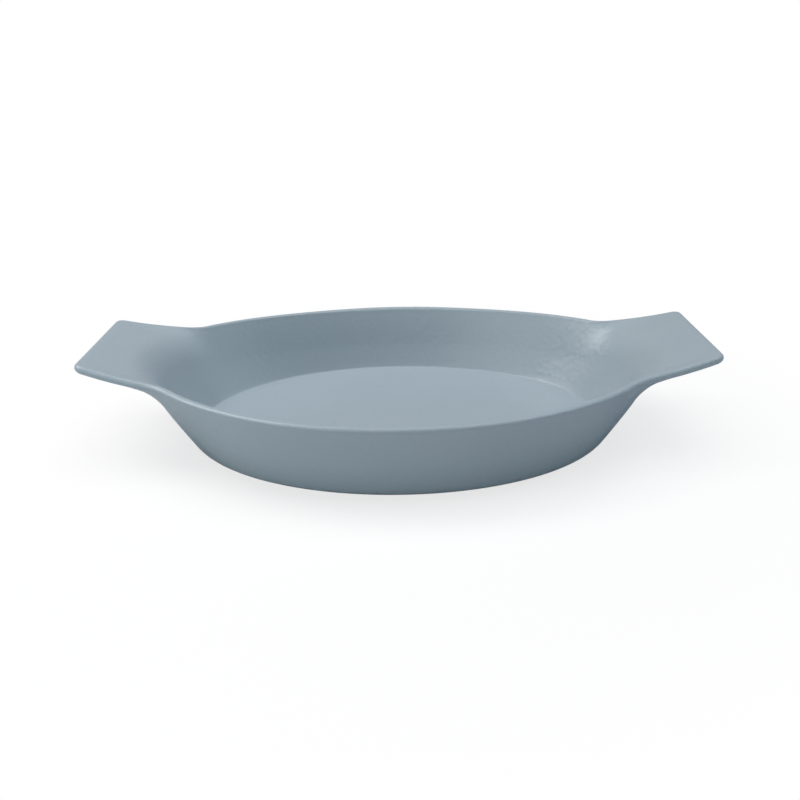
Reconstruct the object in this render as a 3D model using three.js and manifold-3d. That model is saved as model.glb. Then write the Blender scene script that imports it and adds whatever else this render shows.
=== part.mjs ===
// Oval eared baking dish in glazed stoneware: a flared bowl, a lug ear at each end and a low foot ring.
// Millimetres, +Z up, +X along the dish. The origin is on the table, under the middle of the bowl.
import * as THREE from 'three';
import { mergeVertices, toCreasedNormals } from 'three/addons/utils/BufferGeometryUtils.js';
import Module from 'manifold-3d';

// Edge of the dish: an oval rim that runs out into the two ears
const RIM_LENGTH = 214.1; // of the oval alone
const RIM_WIDTH = 150.8;
const RIM_ROUNDNESS = 1.93; // exponent of the oval: 2 is an ellipse, less is more pointed
const RIM_HEIGHT = 33.4; // above the table, at the middle of the long sides
const RIM_SHEER = 4.7; // height that the edge gains along its whole length
const EDGE_THICKNESS = 3.2; // rounded all the way round

// Ears
const EAR_LENGTH = 17.95; // past the end of the oval
const EAR_LIFT = 4.4; // height that they gain on top of the rim's sheer
const EAR_LIFT_RUN = 24.5; // length over which they start to rise, before the end of the oval
const EAR_END_WIDTH = 61.6; // between the corners, before they are rounded
const EAR_TAPER = 11.8; // degrees, each side against the length of the dish
const EAR_CORNER_RADIUS = 4.5;
const EAR_NECK_RADIUS = 19; // hollow curve between the ear and the oval rim

// Roll-over from the wall into the ear: tight at the middle of the ear, wide at its necks
const ROLL_WALL_MIDDLE = 0.55; // part of the upper half of the wall that it takes up
const ROLL_WALL_NECK = 0.8;
const ROLL_EAR_MIDDLE = 9; // length of ear that it takes up, where the ear is long
const ROLL_EAR_NECK = 20;
const ROLL_DEPTH_MIDDLE = 3.5; // its corner below the oval rim, along the wall
const ROLL_DEPTH_NECK = 8;
const ROLL_SPREAD = 46; // from the middle of the ear to where the roll-over is widest

// Wall and floor
const FLOOR_LENGTH = 169.9; // oval where the wall springs, at half the thickness
const FLOOR_WIDTH = 128.1;
const FLOOR_THICKNESS = 4.4;
const WALL_THICKNESS = 4;
const WALL_BELLY = 0.4; // how far the wall swells out of a straight line
const FLOOR_BEND = 3; // length taken up by the bend, on the floor and on the wall

// Foot ring
const FOOT_HEIGHT = 1.5;
const FOOT_WIDTH = 6;
const FOOT_INSET = 8; // behind the oval where the wall springs
const FOOT_EDGE = 0.4; // softened edges

// Joints between the pieces
const JOINT_GAP = 0.3;
const EAR_ROOT = 1; // joint beyond the end of the oval rim
const EAR_JOINT_RADIUS = 95;

// Steps along each stretch of the edge, in one quarter of the dish
const END_STEPS = 3;
const CORNER_STEPS = 5;
const SIDE_STEPS = 2;
const NECK_STEPS = 7;
const OVAL_STEPS = 15;

// Steps along each stretch of the section
const FLOOR_BEND_STEPS = 3;
const WALL_STEPS = 2;
const ROLL_STEPS = 4;
const LAND_STEPS = 1;
const EDGE_STEPS = 4;
const JOINT_SEGMENTS = 144;
const FOOT_SEGMENTS = 40;
const CREASE = THREE.MathUtils.degToRad(50); // edges sharper than this look sharp

const GLAZE = { color: 0xa2afb8, roughness: 0.5, metalness: 0 };
const BARE_CLAY = { color: 0xc9c1b4, roughness: 0.9, metalness: 0 };

// The edge is followed along the middle of its round
const EDGE_RADIUS = EDGE_THICKNESS / 2;
const HALF_LENGTH = RIM_LENGTH / 2 + EAR_LENGTH;
const EAR_REACH = HALF_LENGTH - EDGE_RADIUS;
const EAR_LIFT_START = RIM_LENGTH / 2 - EAR_LIFT_RUN;
const OVAL_A = RIM_LENGTH / 2 - EDGE_RADIUS;
const OVAL_B = RIM_WIDTH / 2 - EDGE_RADIUS;
const FLOOR_A = FLOOR_LENGTH / 2;
const FLOOR_B = FLOOR_WIDTH / 2;
const UNDERSIDE = FOOT_HEIGHT + JOINT_GAP;
const FLOOR_MIDDLE = UNDERSIDE + FLOOR_THICKNESS / 2;

const UP = new THREE.Vector3(0, 0, 1);
const wasm = await Module();
wasm.setup();

// Height of the middle of the edge at a distance along the dish
function edgeHeight(x) {
  const along = Math.abs(x);
  const onEar = Math.max(along - EAR_LIFT_START, 0) / (EAR_REACH - EAR_LIFT_START);
  return RIM_HEIGHT - EDGE_RADIUS + RIM_SHEER * (along / EAR_REACH) ** 2 + EAR_LIFT * onEar ** 2;
}

// A stretch of the edge is a run of points, without its first one, each with the direction across the edge
function edgePoint(x, y, across) {
  return { x, y, across };
}

function roundStretch(centre, radius, from, to, steps) {
  return Array.from({ length: steps }, (_, i) => {
    const angle = from + ((to - from) * (i + 1)) / steps;
    return edgePoint(centre.x + radius * Math.cos(angle), centre.y + radius * Math.sin(angle), angle);
  });
}

function hollowStretch(centre, radius, from, to, steps) {
  const points = roundStretch(centre, radius, from, to, steps);
  return points.map(({ x, y, across }) => edgePoint(x, y, across + Math.PI));
}

function straightStretch(from, to, across, steps) {
  return Array.from({ length: steps }, (_, i) => {
    const { x, y } = new THREE.Vector2(from.x, from.y).lerp(to, (i + 1) / steps);
    return edgePoint(x, y, across);
  });
}

function ovalPoint(turn) {
  const power = 2 / RIM_ROUNDNESS;
  const x = OVAL_A * Math.cos(turn) ** power;
  const y = OVAL_B * Math.sin(turn) ** power;
  const across = Math.atan2(OVAL_A * Math.sin(turn) ** (2 - power), OVAL_B * Math.cos(turn) ** (2 - power));
  return edgePoint(x, y, across);
}

// Middle of the edge in the quarter where x and y are positive, from the ear's end to the long side
function edgeQuarter() {
  const taper = THREE.MathUtils.degToRad(EAR_TAPER);
  const halfEnd = EAR_END_WIDTH / 2 - (EDGE_RADIUS * (1 - Math.sin(taper))) / Math.cos(taper);

  const cornerRadius = EAR_CORNER_RADIUS - EDGE_RADIUS;
  const cornerTurn = Math.PI / 2 - taper;
  const cornerY = halfEnd - cornerRadius * Math.tan(cornerTurn / 2);
  const corner = new THREE.Vector2(EAR_REACH - cornerRadius, cornerY);

  // The neck's arc touches the oval and the ear's side: close in on where it touches the oval
  const neckRadius = EAR_NECK_RADIUS + EDGE_RADIUS;
  const neckCentre = (turn) => {
    const { x, y, across } = ovalPoint(turn);
    return new THREE.Vector2(x + neckRadius * Math.cos(across), y + neckRadius * Math.sin(across));
  };
  const besideEar = (point) => {
    const sideY = halfEnd + (EAR_REACH - point.x) * Math.tan(taper);
    return (point.y - sideY) * Math.cos(taper);
  };
  let near = 0;
  let far = Math.PI / 2;
  while (far - near > 1e-9) {
    const turn = (near + far) / 2;
    if (besideEar(neckCentre(turn)) < neckRadius) near = turn;
    else far = turn;
  }
  const neck = neckCentre(near);
  const neckStart = cornerTurn - Math.PI;
  const neckEnd = ovalPoint(near).across - Math.PI;
  const sideEnd = roundStretch(neck, neckRadius, neckStart, neckStart, 1)[0];

  const middle = edgePoint(EAR_REACH, 0, 0);
  const endTop = edgePoint(EAR_REACH, cornerY, 0);
  const points = [middle, ...straightStretch(middle, endTop, 0, END_STEPS)];
  points.push(...roundStretch(corner, cornerRadius, 0, cornerTurn, CORNER_STEPS));
  points.push(...straightStretch(points.at(-1), sideEnd, cornerTurn, SIDE_STEPS));
  points.push(...hollowStretch(neck, neckRadius, neckStart, neckEnd, NECK_STEPS));
  for (let i = 1; i <= OVAL_STEPS; i += 1) {
    points.push(ovalPoint(near + ((Math.PI / 2 - near) * i) / OVAL_STEPS));
  }
  return points;
}

// The whole edge, anticlockwise, from the four quarters
function edgeOutline() {
  const quarter = edgeQuarter();
  const left = quarter.slice(0, -1).reverse().map(({ x, y, across }) => edgePoint(-x, y, Math.PI - across));
  const half = quarter.concat(left);
  return half.concat(half.slice(1, -1).reverse().map(({ x, y, across }) => edgePoint(x, -y, -across)));
}

// One stretch of the middle line of a section: a curve bent towards a corner, thinning along its way
function bend(start, corner, end, thickStart, thickEnd, steps) {
  const curve = new THREE.QuadraticBezierCurve3(start, corner, end);
  return Array.from({ length: steps }, (_, i) => {
    const u = i / steps;
    const thickness = THREE.MathUtils.lerp(thickStart, thickEnd, u);
    return { middle: curve.getPoint(u), tangent: curve.getTangent(u), thickness };
  });
}

function signedPower(value, power) {
  return Math.sign(value) * Math.abs(value) ** power;
}

function towards(from, to, distance) {
  return to.clone().sub(from).setLength(distance).add(from);
}

// Upper side of a sheet that runs along a tangent
function sheetNormal(tangent) {
  const run = new THREE.Vector3(tangent.x, tangent.y, 0);
  const rise = tangent.z / run.length();
  return run.multiplyScalar(-rise).addScaledVector(UP, Math.hypot(tangent.x, tangent.y)).normalize();
}

// Section of the dish below one point of its edge: floor, bend, wall, roll-over, ear, round edge and back
function section(edge) {
  const sine = signedPower(THREE.MathUtils.clamp(edge.y / OVAL_B, -1, 1), RIM_ROUNDNESS / 2);
  const cosine = Math.sqrt(1 - sine ** 2) * Math.sign(edge.x);
  const rimX = OVAL_A * signedPower(cosine, 2 / RIM_ROUNDNESS);
  const rim = new THREE.Vector3(rimX, edge.y, edgeHeight(rimX));
  const spring = new THREE.Vector3(FLOOR_A * cosine, FLOOR_B * sine, FLOOR_MIDDLE);
  const tip = new THREE.Vector3(edge.x, edge.y, edgeHeight(edge.x));

  const spread = THREE.MathUtils.smoothstep(edge.y ** 2, 0, ROLL_SPREAD ** 2);
  const rollWall = THREE.MathUtils.lerp(ROLL_WALL_MIDDLE, ROLL_WALL_NECK, spread);
  const rollEar = THREE.MathUtils.lerp(ROLL_EAR_MIDDLE, ROLL_EAR_NECK, spread);
  const rollDepth = THREE.MathUtils.lerp(ROLL_DEPTH_MIDDLE, ROLL_DEPTH_NECK, spread);

  const outward = rim.clone().sub(spring).setZ(0).normalize();
  const shoulder = towards(rim, spring, rollDepth);
  const belly = spring.clone().lerp(shoulder, 0.5).addScaledVector(outward, 2 * WALL_BELLY);
  const floorEnd = spring.clone().addScaledVector(outward, -FLOOR_BEND);
  const wallStart = towards(spring, belly, FLOOR_BEND);
  const wallEnd = shoulder.clone().lerp(belly, rollWall);
  const earStart = shoulder.clone().lerp(tip, rollEar / (rollEar + shoulder.distanceTo(tip)));
  const earMiddle = earStart.clone().lerp(tip, 0.5);

  const sheet = [
    ...bend(floorEnd, spring, wallStart, FLOOR_THICKNESS, WALL_THICKNESS, FLOOR_BEND_STEPS),
    ...bend(wallStart, belly, wallEnd, WALL_THICKNESS, WALL_THICKNESS, WALL_STEPS),
    ...bend(wallEnd, shoulder, earStart, WALL_THICKNESS, EDGE_THICKNESS, ROLL_STEPS),
    ...bend(earStart, earMiddle, tip, EDGE_THICKNESS, EDGE_THICKNESS, LAND_STEPS),
  ];
  const side = (sign) => ({ middle, tangent, thickness }) =>
    middle.clone().addScaledVector(sheetNormal(tangent), (sign * thickness) / 2);

  const edgeNormal = sheetNormal(tip.clone().sub(earStart).normalize());
  const across = new THREE.Vector3(Math.cos(edge.across), Math.sin(edge.across), 0);
  across.projectOnPlane(edgeNormal).normalize();
  const round = Array.from({ length: EDGE_STEPS + 1 }, (_, i) => {
    const angle = (Math.PI * i) / EDGE_STEPS;
    const spoke = edgeNormal.clone().multiplyScalar(Math.cos(angle)).addScaledVector(across, Math.sin(angle));
    return tip.clone().addScaledVector(spoke, EDGE_RADIUS);
  });
  return [...sheet.map(side(1)), ...round, ...sheet.map(side(-1)).reverse()];
}

// Closed skin through the sections, with a flat fan over the floor and one under it
function dishGeometry() {
  const sections = edgeOutline().map(section);
  const stations = sections.length;
  const rings = sections[0].length;
  const positions = sections.flat().flatMap((p) => p.toArray());
  const top = stations * rings;
  const bottom = top + 1;
  positions.push(0, 0, UNDERSIDE + FLOOR_THICKNESS, 0, 0, UNDERSIDE);

  const faces = [];
  for (let i = 0; i < stations; i += 1) {
    const here = i * rings;
    const next = ((i + 1) % stations) * rings;
    for (let j = 0; j + 1 < rings; j += 1) {
      faces.push(here + j, here + j + 1, next + j + 1, here + j, next + j + 1, next + j);
    }
    faces.push(top, here, next, bottom, next + rings - 1, here + rings - 1);
  }
  const geometry = new THREE.BufferGeometry();
  geometry.setAttribute('position', new THREE.Float32BufferAttribute(positions, 3));
  geometry.setIndex(faces);
  return geometry;
}

// Everything past the joint of the ear on one side, at a clearance from the joint's curved face
function earSpace(side, clearance) {
  const height = 2 * (RIM_HEIGHT + RIM_SHEER + EAR_LIFT);
  const joint = RIM_LENGTH / 2 + EAR_ROOT;
  const radius = EAR_JOINT_RADIUS + clearance;
  const block = new THREE.BoxGeometry(2 * HALF_LENGTH, 2 * RIM_WIDTH, height);
  block.translate(side * HALF_LENGTH, 0, 0);
  const round = new THREE.CylinderGeometry(radius, radius, 2 * height, JOINT_SEGMENTS);
  round.rotateX(Math.PI / 2);
  round.translate(side * (joint - EAR_JOINT_RADIUS), 0, 0);
  return toSolid(block).subtract(toSolid(round));
}

// Low oval ring with softened edges
function footGeometry() {
  const outerA = FLOOR_A - FOOT_INSET - FOOT_EDGE;
  const outerB = FLOOR_B - FOOT_INSET - FOOT_EDGE;
  const wide = FOOT_WIDTH - 2 * FOOT_EDGE;
  const outline = new THREE.Shape();
  outline.absellipse(0, 0, outerA, outerB, 0, 2 * Math.PI);
  const inside = new THREE.Path();
  inside.absellipse(0, 0, outerA - wide, outerB - wide, 0, 2 * Math.PI);
  outline.holes.push(inside);
  const ring = new THREE.ExtrudeGeometry(outline, {
    depth: FOOT_HEIGHT - 2 * FOOT_EDGE,
    curveSegments: FOOT_SEGMENTS,
    bevelThickness: FOOT_EDGE,
    bevelSize: FOOT_EDGE,
    bevelSegments: 1,
  });
  ring.translate(0, 0, FOOT_EDGE);
  return ring;
}

function toSolid(geometry) {
  const bare = geometry.clone();
  bare.deleteAttribute('normal');
  bare.deleteAttribute('uv');
  const merged = mergeVertices(bare);
  const vertProperties = new Float32Array(merged.attributes.position.array);
  const triVerts = new Uint32Array(merged.index.array);
  return new wasm.Manifold(new wasm.Mesh({ numProp: 3, vertProperties, triVerts }));
}

function toGeometry(solid) {
  const { vertProperties, triVerts } = solid.getMesh();
  const geometry = new THREE.BufferGeometry();
  geometry.setAttribute('position', new THREE.Float32BufferAttribute(vertProperties, 3));
  geometry.setIndex(Array.from(triVerts));
  return toCreasedNormals(geometry, CREASE);
}

function piece(name, geometry, finish) {
  const mesh = new THREE.Mesh(geometry, new THREE.MeshStandardMaterial(finish));
  mesh.name = name;
  return mesh;
}

// The dish is one shape, parted at the ears' joints
const LEFT = -1;
const RIGHT = 1;
const HALF_GAP = JOINT_GAP / 2;
const dish = toSolid(dishGeometry());
const bowl = dish.subtract(earSpace(LEFT, -HALF_GAP)).subtract(earSpace(RIGHT, -HALF_GAP));
const leftEar = dish.intersect(earSpace(LEFT, HALF_GAP));
const rightEar = dish.intersect(earSpace(RIGHT, HALF_GAP));

const part = new THREE.Group();
part.add(
  piece('bowl', toGeometry(bowl), GLAZE),
  piece('left_ear', toGeometry(leftEar), GLAZE),
  piece('right_ear', toGeometry(rightEar), GLAZE),
  piece('foot_ring', footGeometry(), BARE_CLAY),
);
export default part;
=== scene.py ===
import math
from types import SimpleNamespace

import bpy
from bpy.props import FloatProperty, FloatVectorProperty, IntProperty, PointerProperty
from mathutils import Matrix, Vector


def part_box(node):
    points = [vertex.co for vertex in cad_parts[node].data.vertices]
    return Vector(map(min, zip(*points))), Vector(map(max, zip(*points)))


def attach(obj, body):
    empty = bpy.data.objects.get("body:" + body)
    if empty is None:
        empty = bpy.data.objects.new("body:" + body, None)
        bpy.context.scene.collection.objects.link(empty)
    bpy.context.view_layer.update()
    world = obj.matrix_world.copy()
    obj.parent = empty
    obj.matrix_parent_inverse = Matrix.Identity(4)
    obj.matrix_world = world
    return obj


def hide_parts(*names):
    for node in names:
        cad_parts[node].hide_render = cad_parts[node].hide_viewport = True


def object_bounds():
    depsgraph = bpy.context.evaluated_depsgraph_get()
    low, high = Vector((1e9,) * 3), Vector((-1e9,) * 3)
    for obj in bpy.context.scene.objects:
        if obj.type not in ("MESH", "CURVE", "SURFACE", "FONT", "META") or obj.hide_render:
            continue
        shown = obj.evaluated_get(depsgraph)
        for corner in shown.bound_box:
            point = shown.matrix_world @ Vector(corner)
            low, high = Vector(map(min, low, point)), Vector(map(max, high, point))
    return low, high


bl_info = {
    "name": "Oval Eared Dish",
    "version": (1, 0, 0),
    "blender": (4, 5, 0),
    "location": "View3D > Sidebar > Eared Dish",
    "description": "Builds an oval eared baking dish in glazed stoneware over its packed solids",
    "category": "Add Mesh",
}

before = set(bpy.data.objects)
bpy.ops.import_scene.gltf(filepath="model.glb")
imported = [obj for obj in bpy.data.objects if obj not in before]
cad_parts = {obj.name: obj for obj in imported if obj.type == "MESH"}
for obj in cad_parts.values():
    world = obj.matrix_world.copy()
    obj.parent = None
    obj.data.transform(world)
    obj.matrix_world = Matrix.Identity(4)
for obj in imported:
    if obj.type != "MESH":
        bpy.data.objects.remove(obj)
CAD_LOW, CAD_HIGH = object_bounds()
BOWL_LOW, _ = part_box("bowl")
FOOT_LOW, FOOT_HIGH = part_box("foot_ring")

SEAM = 1e-6  # points closer than this are one point
SKIN = 1e-4  # what the smooth dish measures less than the solids' box
BITE = 2e-4  # how far the foot ring reaches into the underside of the bowl
TURN_STEP = 1e-9  # angles closer than this are one angle
FLAT = (1.0, 1.0, 0.0)
QUARTER = math.pi / 2
FULL_TURN = 2 * math.pi
WHITE = (1.0, 1.0, 1.0)
NOISE_MIDDLE = 0.5
NOISE_LOW, NOISE_HIGH = 0.3, 0.7  # most values of a noise lie between these
SENSOR_WIDTH = 36.0  # in millimetres, as focal lengths are
NEAREST, FURTHEST = 0.01, 20.0  # distances that the camera sees


def metres(name, description, default):
    """A size that the user can change."""
    return FloatProperty(
        name=name, description=description, default=default, min=0.0, precision=5, subtype="DISTANCE", unit="LENGTH"
    )


def degrees(name, description, default):
    """An angle that the user can change, given in degrees."""
    return FloatProperty(
        name=name, description=description, default=math.radians(default), subtype="ANGLE", unit="ROTATION"
    )


def share(name, description, default):
    """A part of a whole."""
    return FloatProperty(name=name, description=description, default=default, min=0.0, max=1.0, subtype="FACTOR")


def exponent(name, description, default):
    """The exponent of a curve."""
    return FloatProperty(name=name, description=description, default=default, min=1.0, max=4.0)


def steps(name, description, default):
    """How finely a stretch is divided."""
    return IntProperty(name=name, description=description, default=default, min=1, subtype="UNSIGNED")


def colour(name, description, default):
    """A colour in scene linear values."""
    return FloatVectorProperty(
        name=name, description=description, default=default, size=3, min=0.0, max=1.0, subtype="COLOR"
    )


def watts(name, description, default):
    """The power of a lamp."""
    return FloatProperty(name=name, description=description, default=default, min=0.0, subtype="POWER", unit="POWER")


class DishSizes(bpy.types.PropertyGroup):
    """Sizes of the bowl and its ears"""

    overall_length: metres("Overall length", "Over both ears", CAD_HIGH.x - CAD_LOW.x - SKIN)
    overall_width: metres("Overall width", "Over the long sides of the rim", CAD_HIGH.y - CAD_LOW.y - SKIN)
    overall_height: metres("Overall height", "From the table to the top of the ears", CAD_HIGH.z - CAD_LOW.z - SKIN)
    rim_length: metres("Rim length", "Length of the oval without its ears", 0.2141)
    rim_roundness: exponent("Rim roundness", "Exponent of the oval: 2 is an ellipse, less is more pointed", 1.93)
    rim_height: metres("Rim height", "From the table to the rim, at the middle of the long sides", 0.0334)
    rim_sheer: metres("Rim sheer", "Height that the edge gains along the whole length", 0.0047)
    edge_thickness: metres("Edge thickness", "Thickness of the rounded edge", 0.0032)
    ear_rise_run: metres("Ear rise run", "Length over which the ears start to rise, before the oval ends", 0.0245)
    ear_end_width: metres("Ear end width", "Between the ear's corners, before they are rounded", 0.0616)
    ear_taper: degrees("Ear taper", "Each side of the ear against the length of the dish", 11.8)
    ear_corner_radius: metres("Ear corner radius", "Round of the ear's corners, seen from above", 0.0045)
    ear_neck_radius: metres("Ear neck radius", "Hollow curve between the ear and the rim, seen from above", 0.019)
    roll_wall_middle: share("Roll on the wall", "Part of the upper wall that rolls over into the ear", 0.6)
    roll_wall_neck: share("Roll on the wall, necks", "The same at the ear's necks", 0.8)
    roll_ear_middle: metres("Roll on the ear", "Length of ear that rolls over, if the ear were endless", 0.012)
    roll_ear_neck: metres("Roll on the ear, necks", "The same at the ear's necks", 0.022)
    roll_spread: metres("Roll spread", "From the middle of the ear to where the roll-over is widest", 0.042)
    roll_depth_middle: metres("Roll depth", "From the rim down to the corner that the roll-over bends round", 0.0028)
    roll_depth_neck: metres("Roll depth, necks", "The same at the ear's necks", 0.0065)
    floor_length: metres("Floor length", "Oval where the wall springs", 0.1699)
    floor_width: metres("Floor width", "Oval where the wall springs", 0.1281)
    floor_thickness: metres("Floor thickness", "Thickness of the floor", 0.0044)
    floor_bend: metres("Floor bend", "Length taken up by the bend between floor and wall, inside", 0.002)
    underside_bend: metres("Underside bend", "The same on the outside", 0.003)
    wall_thickness: metres("Wall thickness", "Thickness of the wall", 0.004)
    wall_belly: metres("Wall belly", "How far the wall swells out of a straight line", 0.0004)
    underside: metres("Underside", "From the table to the underside of the floor", BOWL_LOW.z)


class DishSteps(bpy.types.PropertyGroup):
    """How finely the dish is divided, in one quarter of its edge and in one side of its section"""

    ear_end: steps("Ear end", "Along half of the ear's end", 8)
    ear_corner: steps("Ear corner", "Round the ear's corner", 12)
    ear_side: steps("Ear side", "Along the ear's side", 8)
    neck: steps("Neck", "Along the hollow neck", 32)
    oval: steps("Oval", "Along the oval rim", 80)
    floor: steps("Floor", "From the middle of the floor outwards", 3)
    floor_bend: steps("Floor bend", "Round the bend between floor and wall", 8)
    wall: steps("Wall", "Up the wall", 8)
    roll: steps("Roll-over", "Round the roll-over into the ear", 14)
    land: steps("Land", "From the roll-over to the edge", 6)
    edge: steps("Edge", "Round half of the edge", 6)


class FootSizes(bpy.types.PropertyGroup):
    """Sizes of the foot ring"""

    length: metres("Length", "Over the outside of the ring", FOOT_HIGH.x - FOOT_LOW.x)
    width: metres("Width", "Over the outside of the ring", FOOT_HIGH.y - FOOT_LOW.y)
    band: metres("Band", "Width of the band that stands on the table", 0.006)
    rise: metres("Rise", "From the table into the underside of the bowl", BOWL_LOW.z + BITE)
    softness: share("Softness", "How far the edges of the band are worn round", 0.35)


class GlazeFinish(bpy.types.PropertyGroup):
    """Matte glaze on the bowl and the ears"""

    body: colour("Body", "Main colour of the glaze", (0.360, 0.430, 0.475))
    deep: colour("Deep", "Where the glaze lies thicker", (0.340, 0.407, 0.452))
    grain: metres("Grain", "Size of the fine mottle in the glaze", 0.0011)
    cloud: metres("Cloud", "Size of the broad changes in tone", 0.045)
    grain_share: share("Grain share", "How much of the change in tone is fine mottle", 0.6)
    roughness: share("Roughness", "How matte the glaze is", 0.30)
    unevenness: share("Unevenness", "How far the roughness changes with the mottle", 0.04)
    ripple: metres("Ripple", "Size of the waves in the skin of the glaze", 0.0022)
    relief: metres("Relief", "Height of these waves", 0.00011)


class ClayFinish(bpy.types.PropertyGroup):
    """Bare fired clay of the foot ring"""

    body: colour("Body", "Main colour of the clay", (0.58, 0.53, 0.46))
    speck: colour("Speck", "Small iron specks", (0.34, 0.27, 0.20))
    speck_start: share("Speck start", "Value of the grit's noise at which specks begin", 0.62)
    speck_end: share("Speck end", "Value at which they have their full colour", 0.74)
    grain: metres("Grain", "Size of the grit in the clay", 0.0007)
    relief: metres("Relief", "Height of the grit", 0.0001)
    bump: share("Bump", "How strongly the grit shows", 0.4)
    roughness: share("Roughness", "How matte the clay is", 0.88)


class StudioLook(bpy.types.PropertyGroup):
    """Floor, lamps and camera"""

    floor_side: metres("Floor side", "From the middle of the floor to its edge", 4.0)
    floor: colour("Floor", "Colour that the floor throws back at the dish", (0.76, 0.78, 0.80))
    # Painted shade: near the dish the floor throws back a darker colour, which darkens the base and lower wall of
    # the dish
    floor_painted_shade: colour("Floor near the dish", "The same in the dish's own shade", (0.70, 0.72, 0.74))
    floor_seen: colour("Floor as seen", "Colour of the floor to the camera", (0.95, 0.95, 0.95))
    floor_white: share("Floor white", "How far plain white covers the floor at the dish, to the camera", 0.75)
    floor_roughness: share("Floor roughness", "How matte the floor is", 0.9)
    # Between these the floor's painted shade fades out, and the camera's white covers more of the floor
    shade_start: metres("Shade start", "From the middle of the dish to where its shade begins to fade", 0.09)
    shade_end: metres("Shade end", "From the middle of the dish to where its shade is gone", 0.22)
    mirrored: share("Mirrored", "How white the surround shows in the sheen of the glaze", 0.24)
    overhead: watts("Overhead", "Large soft lamp above the dish, which shows in no glint", 8.55)
    key: watts("Key", "Lamp above the left end, which shows in no glint", 1.41)
    window: watts("Window", "Distant lamp behind the key, for the glints alone", 6.8)
    side: watts("Side", "Low soft lamp at the front left", 2.95)
    fill: watts("Fill", "Cool soft lamp at the right", 2.4)
    distance: metres("Camera distance", "From the camera to the point that it looks at", 0.38245)
    elevation: degrees("Camera elevation", "Above the table", 22.0)
    turn: degrees("Camera turn", "Round the dish", -0.04)
    tilt: degrees("Camera tilt", "About the line of sight", -0.89)
    aim_along: metres("Aim along", "Point looked at, along the dish", 0.000143)
    aim_height: metres("Aim height", "Point looked at, above the table", 0.0138)
    focal_length: FloatProperty(
        name="Focal length", description="On a sensor 36 mm wide", default=40.57, min=1.0, subtype="DISTANCE_CAMERA"
    )


class Wire:
    """Output of a node. Python's operators on it add Math and Vector Math nodes to its tree."""

    def __init__(self, graph, socket):
        self.graph = graph
        self.socket = socket

    def __add__(self, other):
        return self.graph.work_out("ADD", self, other)

    def __radd__(self, other):
        return self.graph.work_out("ADD", other, self)

    def __sub__(self, other):
        return self.graph.work_out("SUBTRACT", self, other)

    def __rsub__(self, other):
        return self.graph.work_out("SUBTRACT", other, self)

    def __mul__(self, other):
        return self.graph.work_out("MULTIPLY", self, other)

    def __rmul__(self, other):
        return self.graph.work_out("MULTIPLY", other, self)

    def __truediv__(self, other):
        return self.graph.work_out("DIVIDE", self, other)

    def __rtruediv__(self, other):
        return self.graph.work_out("DIVIDE", other, self)

    def __pow__(self, other):
        return self.graph.work_out("POWER", self, other)

    def __neg__(self):
        return self * -1.0


def is_vector(value):
    """Whether a value is a vector, as a wire or as plain numbers."""
    if isinstance(value, Wire):
        return value.socket.type == "VECTOR"
    return isinstance(value, (tuple, Vector))


class Graph:
    """Node tree under construction."""

    def __init__(self, tree):
        self.tree = tree

    def node(self, kind, settings=None, inputs=None, output=0):
        """Adds a node, sets its settings and then its sockets' values or links, and gives one of its outputs."""
        node = self.tree.nodes.new(kind)
        for name, value in (settings or {}).items():
            setattr(node, name, value)
        for key, value in (inputs or {}).items():
            if isinstance(value, Wire):
                self.tree.links.new(value.socket, node.inputs[key])
            else:
                node.inputs[key].default_value = value
        return Wire(self, node.outputs[output]) if len(node.outputs) else None

    def work_out(self, operation, *values):
        """Math node on numbers, or Vector Math node where a value is a vector."""
        vectors = sum(map(is_vector, values))
        if vectors == 0:
            return self.node("ShaderNodeMath", {"operation": operation}, dict(enumerate(values)))
        if operation == "MULTIPLY" and vectors == 1:
            factor, vector = sorted(values, key=is_vector)
            return self.node("ShaderNodeVectorMath", {"operation": "SCALE"}, {0: vector, "Scale": factor})
        return self.node("ShaderNodeVectorMath", {"operation": operation}, dict(enumerate(values)))

    def sine(self, angle):
        return self.work_out("SINE", angle)

    def cosine(self, angle):
        return self.work_out("COSINE", angle)

    def vector(self, x, y, z):
        return self.node("ShaderNodeCombineXYZ", inputs={"X": x, "Y": y, "Z": z})

    def part(self, vector, axis):
        return self.node("ShaderNodeSeparateXYZ", inputs={0: vector}, output=axis)

    def unit(self, vector):
        return self.work_out("NORMALIZE", vector)

    def size_of(self, vector):
        return self.node("ShaderNodeVectorMath", {"operation": "LENGTH"}, {0: vector}, output="Value")

    def along(self, vector, other):
        """How far a vector reaches along another."""
        return self.node("ShaderNodeVectorMath", {"operation": "DOT_PRODUCT"}, {0: vector, 1: other}, output="Value")

    def progress(self, value, start, end, easing="LINEAR"):
        """From 0 at the start to 1 at the end, and level outside."""
        inputs = {"Value": value, "From Min": start, "From Max": end}
        return self.node("ShaderNodeMapRange", {"interpolation_type": easing}, inputs)

    def stretches(self, value, counts):
        """Progress on each of the stretches that follow one another, given their numbers of steps."""
        starts = [sum(counts[:i]) for i in range(len(counts))]
        return [self.progress(value, start, start + count) for start, count in zip(starts, counts)]

    def blend(self, factor, first, second):
        """Mix of two colours."""
        inputs = {0: factor, 6: first, 7: second}
        return self.node("ShaderNodeMix", {"data_type": "RGBA"}, inputs, output=2)

    def noise(self, place, size, detail=2.0, roughness=0.5):
        """Soft noise whose features have about the given size."""
        inputs = {"Vector": place, "Scale": 1.0 / size, "Detail": detail, "Roughness": roughness}
        return self.node("ShaderNodeTexNoise", inputs=inputs)


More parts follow.
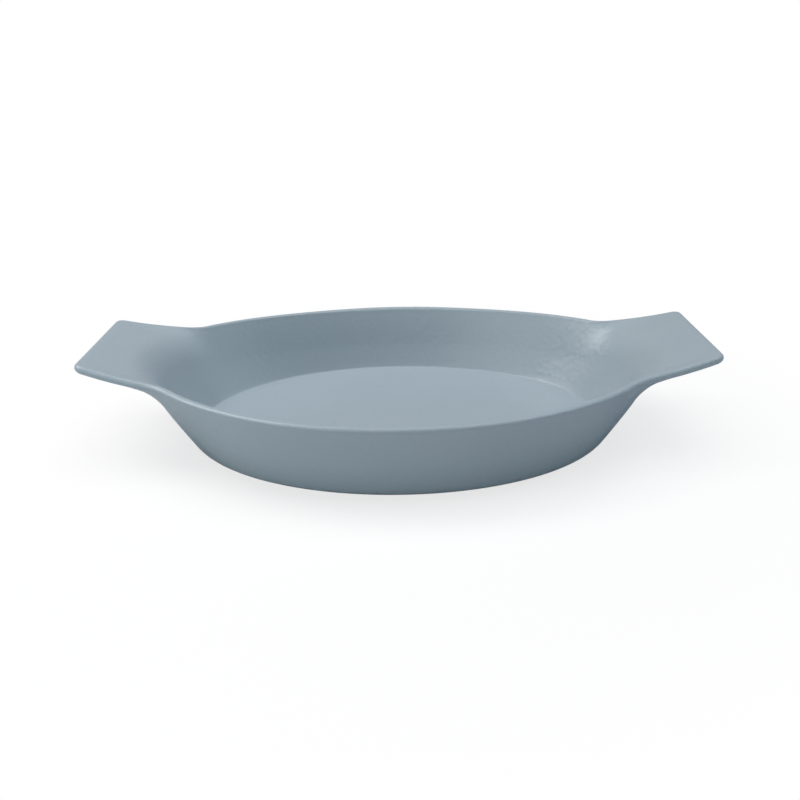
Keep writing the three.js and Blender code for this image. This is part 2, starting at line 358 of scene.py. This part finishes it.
def size_inputs(graph, sizes):
    """Inputs of a Geometry Nodes tree for the numbers of a property group, as wires, and the values for them."""
    tree = graph.tree
    kinds = {"FLOAT": "NodeSocketFloat", "INT": "NodeSocketInt"}
    values = {}
    for key in type(sizes).__annotations__:
        prop = sizes.bl_rna.properties[key]
        item = tree.interface.new_socket(prop.name, in_out="INPUT", socket_type=kinds[prop.type])
        item.description = prop.description
        values[item.identifier] = getattr(sizes, key)
    source = tree.nodes.new("NodeGroupInput")
    wires = [Wire(graph, socket) for socket in source.outputs if socket.identifier in values]
    return SimpleNamespace(**dict(zip(type(sizes).__annotations__, wires))), values


def end_tree(graph, mesh, place, material):
    """Moves a grid's points to their places, closes its seams and gives it its material."""
    tree = graph.tree
    tree.interface.new_socket("Geometry", in_out="OUTPUT", socket_type="NodeSocketGeometry")
    moved = graph.node("GeometryNodeSetPosition", inputs={"Geometry": mesh, "Position": place})
    closed = graph.node("GeometryNodeMergeByDistance", inputs={"Geometry": moved, "Distance": SEAM})
    smooth = graph.node("GeometryNodeSetShadeSmooth", inputs={"Geometry": closed})
    real = graph.node("GeometryNodeRealizeInstances", inputs={"Geometry": smooth})
    done = graph.node("GeometryNodeSetMaterial", inputs={"Geometry": real, "Material": material})
    graph.node("NodeGroupOutput", inputs={"Geometry": done})


def grid(graph, across, around):
    """Flat grid whose points' x and y count the steps across and around, from 0."""
    inputs = {"Size X": across, "Size Y": around, "Vertices X": across + 1, "Vertices Y": around + 1}
    mesh = graph.node("GeometryNodeMeshGrid", inputs=inputs)
    place = graph.node("GeometryNodeInputPosition")
    ring = graph.work_out("ROUND", graph.part(place, 0) + across / 2)
    station = graph.work_out("ROUND", graph.part(place, 1) + around / 2)
    return mesh, ring, station


def made_by(name, tree, values):
    """Plain mesh object at the origin, made by a Geometry Nodes tree."""
    piece = bpy.data.objects.new(name, bpy.data.meshes.new(name))
    bpy.context.scene.collection.objects.link(piece)
    modifier = piece.modifiers.new(name, "NODES")
    modifier.node_group = tree
    for identifier, value in values.items():
        modifier[identifier] = value
    depsgraph = bpy.context.evaluated_depsgraph_get()
    mesh = bpy.data.meshes.new_from_object(piece.evaluated_get(depsgraph), depsgraph=depsgraph)
    piece.modifiers.clear()
    piece.data = mesh
    mesh.name = name
    if not mesh.polygons:
        raise RuntimeError(f"{name} came out empty")
    return piece


def edge_counts(divide):
    """Steps of the stretches in a quarter of the edge, from the middle of the ear's end on."""
    return [divide.ear_end, divide.ear_corner, divide.ear_side, divide.neck, divide.oval]


def section_counts(divide):
    """Steps of the stretches in one side of a section, from the middle of the floor on."""
    return [divide.floor, divide.floor_bend, divide.wall, divide.roll, divide.land, divide.edge]


def edge_reach(size):
    """Half of the edge's thickness, and how far its middle reaches: on the ears, along the oval and across it."""
    edge = size.edge_thickness / 2
    return edge, size.overall_length / 2 - edge, size.rim_length / 2 - edge, size.overall_width / 2 - edge


def neck_turn(sizes):
    """Turn of the oval at which the neck's hollow curve touches both the oval and the ear's side."""
    edge, reach, oval_a, oval_b = edge_reach(sizes)
    bow = 2 / sizes.rim_roundness
    radius = sizes.ear_neck_radius + edge
    taper = sizes.ear_taper
    half_end = sizes.ear_end_width / 2 - edge * (1 - math.sin(taper)) / math.cos(taper)
    near, far = 0.0, QUARTER
    while far - near > TURN_STEP:
        turn = (near + far) / 2
        along, aside = math.cos(turn), math.sin(turn)
        across = math.atan2(oval_a * aside ** (2 - bow), oval_b * along ** (2 - bow))
        x = oval_a * along**bow + radius * math.cos(across)
        y = oval_b * aside**bow + radius * math.sin(across)
        beside = (y - half_end - (reach - x) * math.tan(taper)) * math.cos(taper)
        if beside < radius:
            near = turn
        else:
            far = turn
    return near


def edge_line(graph, size, turn, station, divide):
    """Middle of the rounded edge in the quarter where x and y are positive: x, y and the angle across the edge."""
    edge, reach, oval_a, oval_b = edge_reach(size)
    bow = 2 / size.rim_roundness
    sine, cosine = graph.sine, graph.cosine

    def oval_point(angle):
        """Point of the oval rim at a turn, and the angle across the rim there."""
        along = graph.work_out("MAXIMUM", cosine(angle), 0.0)
        aside = graph.work_out("MAXIMUM", sine(angle), 0.0)
        slope = oval_a * aside ** (2 - bow), oval_b * along ** (2 - bow)
        return oval_a * along**bow, oval_b * aside**bow, graph.work_out("ARCTAN2", *slope)

    corner_turn = QUARTER - size.ear_taper
    half_end = size.ear_end_width / 2 - edge * (1 - sine(size.ear_taper)) / cosine(size.ear_taper)
    corner_radius = size.ear_corner_radius - edge
    corner_y = half_end - corner_radius * graph.work_out("TANGENT", corner_turn / 2)
    neck_radius = size.ear_neck_radius + edge
    neck_x, neck_y, neck_end = oval_point(turn)

    side_x = neck_x + neck_radius * (cosine(neck_end) - cosine(corner_turn))
    side_x -= reach - corner_radius + corner_radius * cosine(corner_turn)
    side_y = neck_y + neck_radius * (sine(neck_end) - sine(corner_turn))
    side_y -= corner_y + corner_radius * sine(corner_turn)

    end, corner, side, neck, oval = graph.stretches(station, edge_counts(divide))
    round_angle = corner_turn * corner
    hollow_angle = corner_turn + (neck_end - corner_turn) * neck
    oval_x, oval_y, oval_across = oval_point(turn + (QUARTER - turn) * oval)

    x = reach + corner_radius * (cosine(round_angle) - 1) + side_x * side
    x += oval_x - neck_x - neck_radius * (cosine(hollow_angle) - cosine(corner_turn))
    y = corner_y * end + corner_radius * sine(round_angle) + side_y * side
    y += oval_y - neck_y - neck_radius * (sine(hollow_angle) - sine(corner_turn))
    across = round_angle + hollow_angle - corner_turn + oval_across - neck_end
    return x, y, across


def section_place(graph, size, edge_x, edge_y, across, ring, divide):
    """Place of a point of the section below the edge, in the quarter where x and y are positive."""
    edge, reach, oval_a, oval_b = edge_reach(size)
    lift = size.overall_height - size.rim_height - size.rim_sheer
    lift_start = size.rim_length / 2 - size.ear_rise_run

    def edge_height(x):
        """Height of the middle of the edge, which climbs towards the ends and more so on the ears."""
        on_ear = graph.work_out("MAXIMUM", x - lift_start, 0.0) / (reach - lift_start)
        return size.rim_height - edge + size.rim_sheer * (x / reach) ** 2 + lift * on_ear**2

    def towards(start, end, distance):
        return start + graph.unit(end - start) * distance

    def part_way(start, end, factor):
        return start + (end - start) * factor

    def curve_run(start, corner, end, u):
        """How far a curve that bends round a corner has come from its start."""
        return (corner - start) * (2 * u * (1 - u)) + (end - start) * u**2

    def heading_on(start, corner, end, u):
        """Direction of that curve."""
        return graph.unit(part_way(corner - start, end - corner, u))

    counts = section_counts(divide)
    half = sum(counts)
    depth = graph.work_out("PINGPONG", ring, half)
    upper = graph.work_out("SIGN", half - ring)  # 1 on the inside of the dish, -1 on its underside

    # The oval rim in the same direction from the middle of the dish as the edge
    along = (edge_x / oval_a) ** size.rim_roundness
    aside = (edge_y / oval_b) ** size.rim_roundness
    cosine = graph.work_out("SQRT", along / (along + aside))
    sine = graph.work_out("SQRT", aside / (along + aside))
    bow = 2 / size.rim_roundness
    rim_x = oval_a * cosine**bow
    rim_y = oval_b * sine**bow
    rim = graph.vector(rim_x, rim_y, edge_height(rim_x))
    tip = graph.vector(edge_x, edge_y, edge_height(edge_x))
    floor_middle = size.underside + size.floor_thickness / 2
    spring = graph.vector(size.floor_length / 2 * cosine, size.floor_width / 2 * sine, floor_middle)
    centre = graph.vector(0.0, 0.0, floor_middle)

    # Corners and ends of the section's bends
    outward = graph.unit((rim - spring) * FLAT)
    spread = graph.progress(rim_y**2, 0.0, size.roll_spread**2, "SMOOTHSTEP")
    shoulder = towards(rim, spring, part_way(size.roll_depth_middle, size.roll_depth_neck, spread))
    belly = part_way(spring, shoulder, 0.5) + outward * (2 * size.wall_belly)
    bend = part_way(size.underside_bend, size.floor_bend, graph.progress(upper, -1.0, 1.0))
    floor_end = spring - outward * bend
    wall_start = towards(spring, belly, bend)
    wall_end = part_way(shoulder, belly, part_way(size.roll_wall_middle, size.roll_wall_neck, spread))
    free_length = graph.size_of(tip - shoulder)
    roll_length = part_way(size.roll_ear_middle, size.roll_ear_neck, spread)
    ear_start = part_way(shoulder, tip, roll_length / (roll_length + free_length))

    # Middle line of the clay, its direction and its thickness
    on_floor, on_bend, on_wall, on_ear, on_land, on_edge = graph.stretches(depth, counts)
    middle = centre + (floor_end - centre) * on_floor
    middle += curve_run(floor_end, spring, wall_start, on_bend)
    middle += curve_run(wall_start, belly, wall_end, on_wall)
    middle += curve_run(wall_end, shoulder, ear_start, on_ear)
    middle += (tip - ear_start) * on_land
    heading = heading_on(floor_end, spring, wall_start, on_bend)
    heading += heading_on(wall_start, belly, wall_end, on_wall) - graph.unit(belly - wall_start)
    heading += heading_on(wall_end, shoulder, ear_start, on_ear) - graph.unit(shoulder - wall_end)
    thickness = size.floor_thickness + (size.wall_thickness - size.floor_thickness) * on_bend
    thickness += (size.edge_thickness - size.wall_thickness) * on_ear

    # From the middle line out to the skin, and round the edge
    run = heading * FLAT
    level = graph.size_of(run)
    normal = graph.unit(run * (-graph.part(heading, 2) / level) + graph.vector(0.0, 0.0, level))
    outwards = graph.vector(graph.cosine(across), graph.sine(across), 0.0)
    outwards = graph.unit(outwards - normal * graph.along(outwards, normal))
    roll = on_edge * QUARTER
    spoke = normal * (upper * graph.cosine(roll)) + outwards * graph.sine(roll)
    return middle + spoke * (thickness / 2)


def dish_tree(sizes, divide, material):
    """Geometry Nodes tree of the whole glazed dish: floor, wall, rim and ears in one closed skin."""
    graph = Graph(bpy.data.node_groups.new("Eared dish", "GeometryNodeTree"))
    item = graph.tree.interface.new_socket("Neck turn", in_out="INPUT", socket_type="NodeSocketFloat")
    item.description = "Turn of the oval at which the hollow neck leaves it"
    size, values = size_inputs(graph, sizes)
    values[item.identifier] = neck_turn(sizes)
    turn = Wire(graph, graph.tree.nodes["Group Input"].outputs["Neck turn"])

    quarter, half = sum(edge_counts(divide)), sum(section_counts(divide))
    mesh, ring, station = grid(graph, 2 * half, 4 * quarter)
    folded = graph.work_out("PINGPONG", station, quarter)
    right = graph.work_out("SIGN", quarter - graph.work_out("PINGPONG", station, 2 * quarter))
    back = graph.work_out("SIGN", 2 * quarter - station)

    x, y, across = edge_line(graph, size, turn, folded, divide)
    place = section_place(graph, size, x, y, across, ring, divide)
    end_tree(graph, mesh, place * graph.vector(right, back, 1.0), material)
    return graph.tree, values


def foot_tree(sizes, material):
    """Geometry Nodes tree of the foot ring: an oval band with softened edges."""
    graph = Graph(bpy.data.node_groups.new("Foot ring", "GeometryNodeTree"))
    size, values = size_inputs(graph, sizes)
    profile_steps, around = 32, 240
    mesh, ring, station = grid(graph, profile_steps, around)
    turn = station * (FULL_TURN / around)
    roll = ring * (FULL_TURN / profile_steps)

    def squared(value):
        """Rounds a circle's coordinate out towards a square's."""
        return graph.work_out("SIGN", value) * graph.work_out("ABSOLUTE", value) ** size.softness

    out = squared(graph.cosine(roll)) * (size.band / 2) - size.band / 2
    up = (squared(graph.sine(roll)) + 1) * (size.rise / 2)
    x = (size.length / 2 + out) * graph.cosine(turn)
    y = (size.width / 2 + out) * graph.sine(turn)
    end_tree(graph, mesh, graph.vector(x, y, up), material)
    return graph.tree, values


def surface(name):
    """New material with its node graph, its shader node and the place on the piece."""
    material = bpy.data.materials.new(name)
    material.use_nodes = True
    graph = Graph(material.node_tree)
    place = graph.node("ShaderNodeTexCoord", output="Object")
    return material, graph, material.node_tree.nodes["Principled BSDF"], place


def glaze_material(finish):
    """Matte grey-blue glaze with a fine mottle and an uneven skin."""
    material, graph, shader, place = surface("matte glaze")
    link = material.node_tree.links.new
    grain = graph.noise(place, finish.grain, detail=3.0, roughness=0.6)
    cloud = graph.noise(place, finish.cloud, detail=1.0)
    mottle = grain * finish.grain_share + cloud * (1 - finish.grain_share)
    depth = graph.progress(mottle, NOISE_LOW, NOISE_HIGH)
    tone = graph.blend(depth, (*finish.deep, 1.0), (*finish.body, 1.0))
    link(tone.socket, shader.inputs["Base Color"])
    roughness = finish.roughness + (grain - NOISE_MIDDLE) * finish.unevenness
    link(roughness.socket, shader.inputs["Roughness"])
    ripple = graph.noise(place, finish.ripple, detail=0.0)
    bump = graph.node("ShaderNodeBump", inputs={"Strength": 1.0, "Distance": finish.relief, "Height": ripple})
    link(bump.socket, shader.inputs["Normal"])
    return material


def clay_material(finish):
    """Bare fired clay with fine grit."""
    material, graph, shader, place = surface("bare clay")
    link = material.node_tree.links.new
    grit = graph.noise(place, finish.grain, detail=2.0, roughness=0.7)
    speck = graph.progress(grit, finish.speck_start, finish.speck_end)
    tone = graph.blend(speck, (*finish.body, 1.0), (*finish.speck, 1.0))
    link(tone.socket, shader.inputs["Base Color"])
    inputs = {"Strength": finish.bump, "Distance": finish.relief, "Height": grit}
    bump = graph.node("ShaderNodeBump", inputs=inputs)
    link(bump.socket, shader.inputs["Normal"])
    shader.inputs["Roughness"].default_value = finish.roughness
    return material


class DISH_OT_glazed_dish(bpy.types.Operator):
    """Make the glazed bowl with its two ears"""

    bl_idname = "eared_dish.glazed_dish"
    bl_label = "Glazed Dish"

    def execute(self, context):
        scene = context.scene
        tree, values = dish_tree(scene.dish_sizes, scene.dish_steps, glaze_material(scene.dish_glaze))
        dish = made_by("glazed_dish", tree, values)
        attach(dish, "root")
        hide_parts("bowl", "left_ear", "right_ear")
        return {"FINISHED"}


class DISH_OT_foot_ring(bpy.types.Operator):
    """Make the unglazed foot ring"""

    bl_idname = "eared_dish.foot_ring"
    bl_label = "Foot Ring"

    def execute(self, context):
        scene = context.scene
        tree, values = foot_tree(scene.dish_foot, clay_material(scene.dish_clay))
        ring = made_by("clay_foot_ring", tree, values)
        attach(ring, "root")
        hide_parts("foot_ring")
        return {"FINISHED"}


def lamp(name, power, place, side, tint=WHITE, lights=True, glints=True):
    """Square soft lamp that points at the dish, and lights it, shows in its sheen, or both."""
    light = bpy.data.lights.new(name, "AREA")
    light.size = side
    light.energy = power
    light.color = tint
    holder = bpy.data.objects.new(name, light)
    holder.location = place
    holder.visible_diffuse = lights
    holder.visible_glossy = glints
    holder.rotation_euler = (-Vector(place)).to_track_quat("-Z", "Y").to_euler()
    bpy.context.scene.collection.objects.link(holder)


def studio_floor(look):
    """Large pale floor that keeps the dish's shadow and runs out into white, with painted shade near the dish in the
    colour that it throws back at the dish.
    """
    side = look.floor_side
    mesh = bpy.data.meshes.new("studio_floor")
    corners = [(-side, -side, 0.0), (side, -side, 0.0), (side, side, 0.0), (-side, side, 0.0)]
    mesh.from_pydata(corners, [], [(0, 1, 2, 3)])
    floor = bpy.data.objects.new("studio_floor", mesh)
    bpy.context.scene.collection.objects.link(floor)
    material, graph, shader, place = surface("pale floor")
    link = material.node_tree.links.new
    seen = graph.node("ShaderNodeLightPath", output="Is Camera Ray")
    # Painted shade: the colour that the floor throws back is darker near the dish; the camera sees the plain floor
    # colour instead
    away = graph.progress(graph.size_of(place), look.shade_start, look.shade_end)
    bounce_with_painted_shade = graph.blend(away, (*look.floor_painted_shade, 1.0), (*look.floor, 1.0))
    tone = graph.blend(seen, bounce_with_painted_shade, (*look.floor_seen, 1.0))
    link(tone.socket, shader.inputs["Base Color"])
    shader.inputs["Roughness"].default_value = look.floor_roughness
    white = graph.node("ShaderNodeEmission", inputs={"Color": (*WHITE, 1.0), "Strength": 1.0})
    cover = seen * (look.floor_white + away * (1 - look.floor_white))
    mixed = graph.node("ShaderNodeMixShader", inputs={0: cover, 1: Wire(graph, shader.outputs[0]), 2: white})
    link(mixed.socket, material.node_tree.nodes["Material Output"].inputs["Surface"])
    mesh.materials.append(material)


def studio_world(look):
    """Surround that is seen as white, shows more faintly in the sheen of the glaze and lights nothing."""
    world = bpy.data.worlds.new("studio")
    world.use_nodes = True
    bpy.context.scene.world = world
    graph = Graph(world.node_tree)
    background = world.node_tree.nodes["Background"]
    straight = graph.node("ShaderNodeLightPath", output="Is Camera Ray")
    mirrored = graph.node("ShaderNodeLightPath", output="Is Glossy Ray")
    seen = straight + mirrored * look.mirrored
    world.node_tree.links.new(seen.socket, background.inputs["Color"])
    background.inputs["Strength"].default_value = 1.0


def studio_camera(look):
    """Camera in front of the dish and a little above it."""
    camera = bpy.data.cameras.new("studio_camera")
    camera.sensor_width = SENSOR_WIDTH
    camera.lens = look.focal_length
    camera.clip_start, camera.clip_end = NEAREST, FURTHEST
    holder = bpy.data.objects.new("studio_camera", camera)
    bpy.context.scene.collection.objects.link(holder)
    level = math.cos(look.elevation)
    back = Vector((math.sin(look.turn) * level, -math.cos(look.turn) * level, math.sin(look.elevation)))
    right = (-back).cross(Vector((0.0, 0.0, 1.0))).normalized()
    up = right.cross(-back)
    rolled_right = right * math.cos(look.tilt) + up * math.sin(look.tilt)
    rolled_up = up * math.cos(look.tilt) - right * math.sin(look.tilt)
    turned = Matrix((rolled_right, rolled_up, back)).transposed().to_4x4()
    aim = Vector((look.aim_along, 0.0, look.aim_height))
    holder.matrix_world = Matrix.Translation(aim + back * look.distance) @ turned
    bpy.context.scene.camera = holder


class DISH_OT_studio(bpy.types.Operator):
    """Set up the floor, the lamps, the surround and the camera"""

    bl_idname = "eared_dish.studio"
    bl_label = "Studio"

    def execute(self, context):
        look = context.scene.dish_studio
        context.scene.view_settings.view_transform = "Standard"
        studio_floor(look)
        studio_world(look)
        lamp("overhead", look.overhead, place=(0.0, 0.0, 1.0), side=1.0, tint=(0.99, 0.99, 1.0), glints=False)
        lamp("key", look.key, place=(-0.4, 0.06, 0.52), side=0.25, tint=(1.0, 0.94, 0.93), glints=False)
        lamp("window", look.window, place=(-0.84, 0.09, 0.93), side=0.8, lights=False)
        lamp("side", look.side, place=(-0.7, -0.7, 0.25), side=0.8, tint=(0.83, 0.98, 1.0))
        lamp("fill", look.fill, place=(0.9, 0.0, 0.5), side=1.0, tint=(0.60, 0.83, 1.0))
        studio_camera(look)
        return {"FINISHED"}


class DISH_PT_sidebar(bpy.types.Panel):
    """Pieces of the dish and their sizes"""

    bl_idname = "DISH_PT_sidebar"
    bl_label = "Oval Eared Dish"
    bl_space_type = "VIEW_3D"
    bl_region_type = "UI"
    bl_category = "Eared Dish"

    def draw(self, context):
        layout = self.layout
        for operator in OPERATORS:
            layout.operator(operator.bl_idname)
        for name, group in GROUPS.items():
            box = layout.box()
            box.label(text=group.__doc__)
            for key in group.__annotations__:
                box.prop(getattr(context.scene, name), key)


GROUPS = {
    "dish_sizes": DishSizes,
    "dish_steps": DishSteps,
    "dish_foot": FootSizes,
    "dish_glaze": GlazeFinish,
    "dish_clay": ClayFinish,
    "dish_studio": StudioLook,
}
OPERATORS = (DISH_OT_glazed_dish, DISH_OT_foot_ring, DISH_OT_studio)
CLASSES = (*GROUPS.values(), *OPERATORS, DISH_PT_sidebar)


def register():
    for item in CLASSES:
        bpy.utils.register_class(item)
    for name, group in GROUPS.items():
        setattr(bpy.types.Scene, name, PointerProperty(type=group))


def unregister():
    for name in GROUPS:
        delattr(bpy.types.Scene, name)
    for item in reversed(CLASSES):
        bpy.utils.unregister_class(item)


def main():
    register()
    bpy.ops.eared_dish.glazed_dish()
    bpy.ops.eared_dish.foot_ring()
    bpy.ops.eared_dish.studio()


if __name__ == "__main__":
    main()
